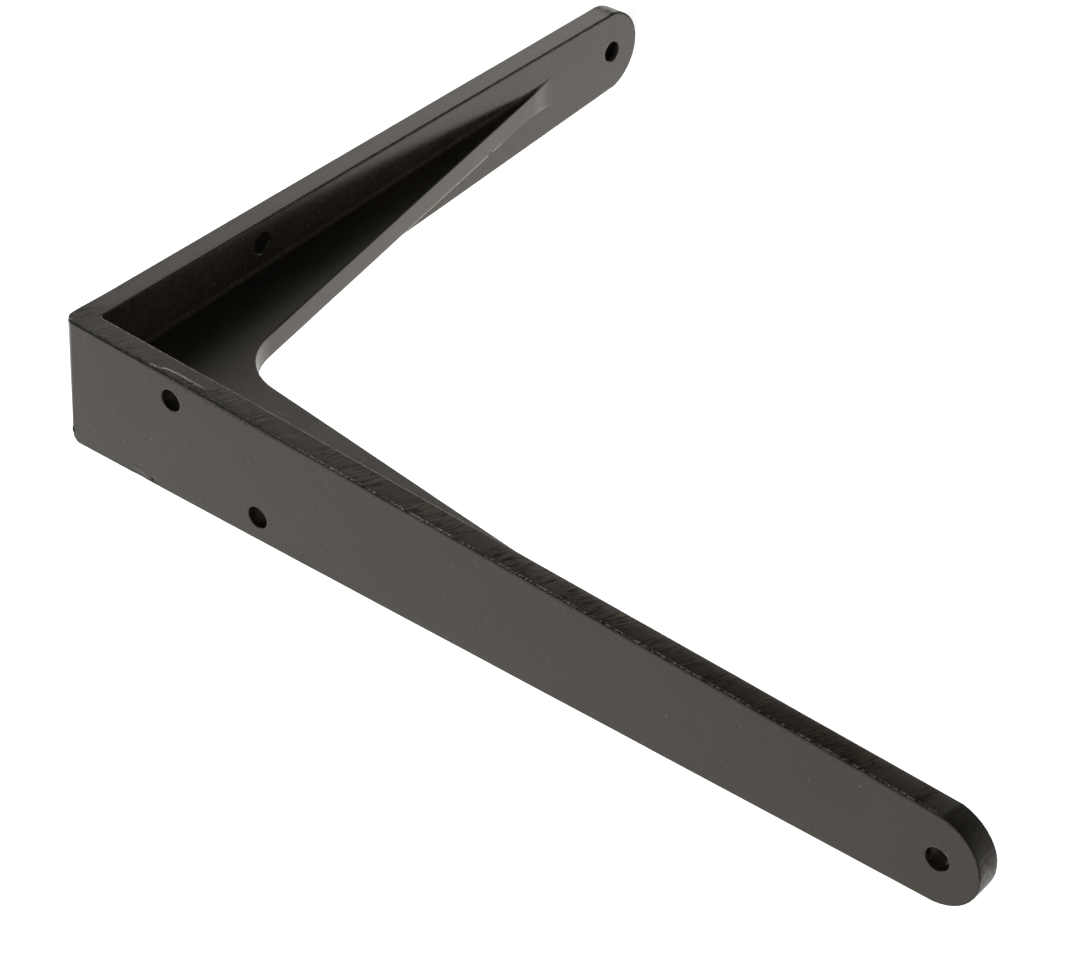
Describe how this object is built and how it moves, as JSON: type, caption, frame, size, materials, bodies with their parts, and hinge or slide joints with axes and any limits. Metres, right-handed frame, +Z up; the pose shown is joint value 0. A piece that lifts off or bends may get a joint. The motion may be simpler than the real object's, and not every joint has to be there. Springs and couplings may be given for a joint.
{
  "type": "shelf bracket",
  "caption": "Cast right-angle shelf bracket with tapered, round-tipped arms, screw holes and a central stiffening web with a rounded notch.",
  "frame": {"origin": "sharp outer corner where the wall face and the shelf face meet, midway across the width", "axes": "+Z up, +X away from the wall along the shelf arm, Y across the width; the shelf face is z = 0 and the wall face is x = 0"},
  "size_m": [0.25, 0.036, 0.2],
  "materials": {
    "black_paint": "satin black paint over a ground casting"
  },
  "bodies": {
    "root": {"bracket": "black_paint"}
  },
  "joints": []
}
